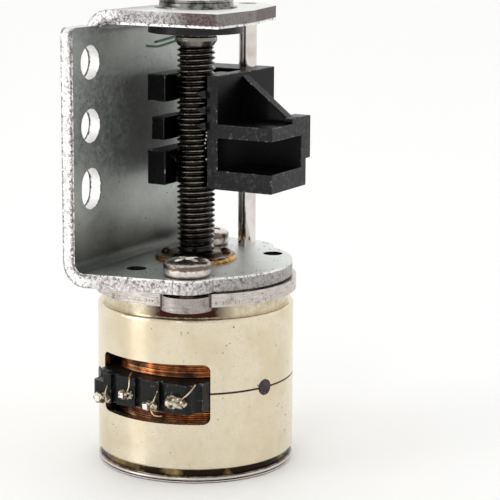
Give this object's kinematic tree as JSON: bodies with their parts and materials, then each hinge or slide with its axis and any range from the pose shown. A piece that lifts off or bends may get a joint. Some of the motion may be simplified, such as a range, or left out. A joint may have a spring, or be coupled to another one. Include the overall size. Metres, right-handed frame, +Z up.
{
  "type": "stepper motor with lead screw",
  "caption": "Miniature can-stack stepper motor with a sheet bracket, fine-pitch lead screw, guide rod and a moulded half-nut slider.",
  "frame": {"origin": "centre of the underside of the motor's end plate, on the lead screw's axis", "axes": "+Z up the lead screw axis from the motor to the top bush, +Y towards the bracket's back plate, +X across the bracket towards the guide rod"},
  "size_m": [0.0186, 0.0154, 0.0353],
  "materials": {
    "galvanised_sheet": "galvanised, sheared bright edges",
    "plated_plate": "plated, satin",
    "bright_screw": "bright nickel plate",
    "nickel_case": "warm nickel plate, satin with fine pits",
    "weld_scale": "heat-tinted weld",
    "pole_iron": "soft iron, lightly oiled",
    "bobbin_plastic": "moulded black",
    "copper_wire": "enamelled copper winding",
    "block_plastic": "moulded black, satin",
    "tinned_pin": "tinned",
    "solder": "soft solder with flux",
    "sintered_bronze": "sintered, oiled",
    "spring_steel": "polished",
    "bronze_collar": "dark bronze, worn bright on the rim",
    "bush_plastic": "moulded black",
    "dark_cap": "dark oxide, turned rings",
    "ground_rod": "ground bright",
    "oiled_screw": "rolled thread, dark oil film",
    "hub_plastic": "moulded natural",
    "ferrite": "bonded ferrite",
    "slider_plastic": "moulded black, satin"
  },
  "bodies": {
    "frame": {"bracket": "galvanised_sheet", "motor_flange_plate": "plated_plate", "flange_screws": "bright_screw", "case_upper": "nickel_case", "case_lower": "nickel_case", "end_plate": "plated_plate", "seam_welds": "weld_scale", "pole_plate_lower": "pole_iron", "pole_plate_upper": "pole_iron", "bobbin_lower": "bobbin_plastic", "bobbin_upper": "bobbin_plastic", "coil_lower": "copper_wire", "coil_upper": "copper_wire", "terminal_block": "block_plastic", "terminal_pins": "tinned_pin", "solder_joints": "solder", "rear_bearing": "sintered_bronze", "preload_spring": "spring_steel", "thrust_ball": "spring_steel", "front_bearing": "bronze_collar", "top_bush": "bush_plastic", "top_cap": "dark_cap", "guide_rod": "ground_rod"},
    "rotor": {"lead_screw": "oiled_screw", "rotor_hub": "hub_plastic", "rotor_magnet": "ferrite", "thrust_washer": "hub_plastic"},
    "slider": {"slider": "slider_plastic"}
  },
  "joints": [
    {"name": "slider_travel", "type": "slide", "parent": "frame", "child": "slider", "axis": [0, 0, 1], "range_m": [-0.0038, 0.002]},
    {"name": "screw_turn", "type": "hinge", "parent": "frame", "child": "rotor", "pos_m": [0, 0, 0], "axis": [0, 0, 1], "range_deg": [-1920, 3540]}
  ],
  "couplings": [
    {"joint": "screw_turn", "follows": "slider_travel", "rad_per_m": -15708}
  ]
}
